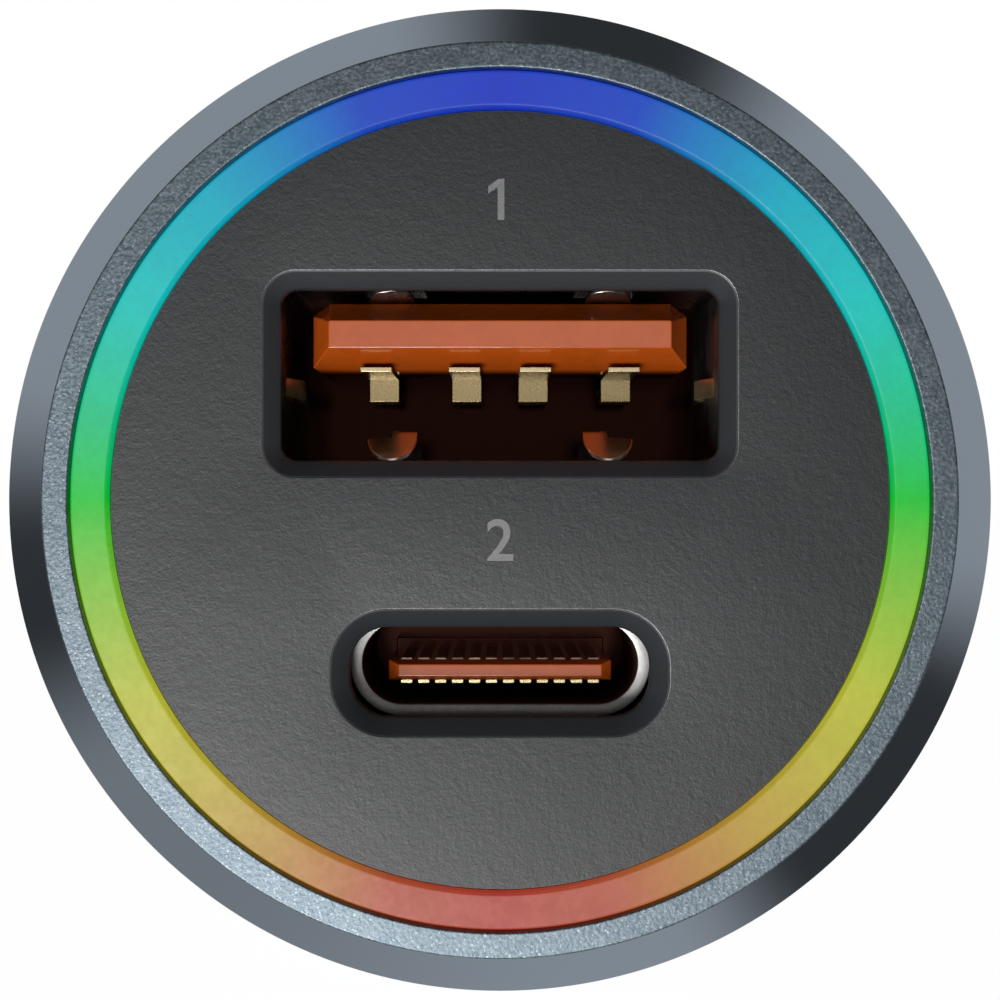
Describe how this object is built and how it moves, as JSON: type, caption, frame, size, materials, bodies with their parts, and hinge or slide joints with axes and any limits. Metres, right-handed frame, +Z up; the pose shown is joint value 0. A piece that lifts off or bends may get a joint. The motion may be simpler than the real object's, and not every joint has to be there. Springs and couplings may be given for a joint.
{
  "type": "car usb charger plug",
  "caption": "Round charger plug for a car's power socket: metal barrel with side springs and a sprung tip, and a face with charging ports inside a ring of light.",
  "frame": {"origin": "on the plug's axis, in the plane of the head's rear shoulder, where the plug stops against its socket", "axes": "+Y runs along the barrel to the tip and -Y out of the face; +Z is up as the picture shows the face, with the wide port above"},
  "size_m": [0.0286, 0.0596, 0.0286],
  "materials": {
    "body_metal": "bead blasted and anodised blue grey, polished chamfer",
    "light_guide": "clear light guide lit in every colour round the circle",
    "plate_plastic": "dark grey with a fine spark texture",
    "nickel_sheet": "bright nickel plating",
    "steel_sheet": "drawn steel with a satin rim",
    "orange_plastic": "glossy orange moulding",
    "gold_contact": "gold plating",
    "brass_spring": "plain brass",
    "board_green": "glass fibre board under green lacquer",
    "lamp_lens": "pale lens of a surface lamp",
    "coil_grey": "moulded iron powder",
    "can_metal": "bare can",
    "chip_black": "black moulding compound",
    "ceramic": "fired ceramic with tinned ends",
    "carrier_plastic": "plain black moulding",
    "spring_steel": "nickel plated spring steel",
    "tip_nickel": "nickel plated brass",
    "nose_plastic": "black moulding with a fine satin grain"
  },
  "bodies": {
    "plug": {"shell": "body_metal", "light_ring": "light_guide", "face_plate": "plate_plastic", "usb_a_shell": "nickel_sheet", "usb_c_shell": "steel_sheet", "usb_c_mid_plate": "steel_sheet", "usb_a_tongue": "orange_plastic", "usb_c_tongue": "orange_plastic", "usb_a_contact_1": "gold_contact", "usb_a_contact_2": "gold_contact", "usb_a_contact_3": "gold_contact", "usb_a_contact_4": "gold_contact", "usb_c_contacts_upper": "gold_contact", "usb_c_contacts_lower": "gold_contact", "light_board_pins": "gold_contact", "usb_a_side_spring_left": "brass_spring", "usb_a_side_spring_right": "brass_spring", "tip_contact": "brass_spring", "light_board": "board_green", "port_board": "board_green", "main_board": "board_green", "leds": "lamp_lens", "coil_block": "coil_grey", "input_capacitor": "can_metal", "output_capacitor": "can_metal", "controller_chip": "chip_black", "power_diode": "chip_black", "fuse": "ceramic", "chip_capacitors": "ceramic", "board_carrier": "carrier_plastic", "tip_spring": "spring_steel", "nose_cap": "nose_plastic"},
    "ground_left": {"ground_spring_left": "spring_steel"},
    "ground_right": {"ground_spring_right": "spring_steel"},
    "tip": {"tip_pin": "tip_nickel"}
  },
  "joints": [
    {"name": "ground_left_press", "type": "slide", "parent": "plug", "child": "ground_left", "axis": [1, 0, 0], "range_m": [0, 0.001], "stiffness_N_per_m": 800, "springref_m": -0.0004},
    {"name": "ground_right_press", "type": "slide", "parent": "plug", "child": "ground_right", "axis": [-1, 0, 0], "range_m": [0, 0.001], "stiffness_N_per_m": 800, "springref_m": -0.0004},
    {"name": "tip_press", "type": "slide", "parent": "plug", "child": "tip", "axis": [0, -1, 0], "range_m": [0, 0.003], "stiffness_N_per_m": 500, "springref_m": -0.002, "deforming": ["tip_spring"]}
  ]
}
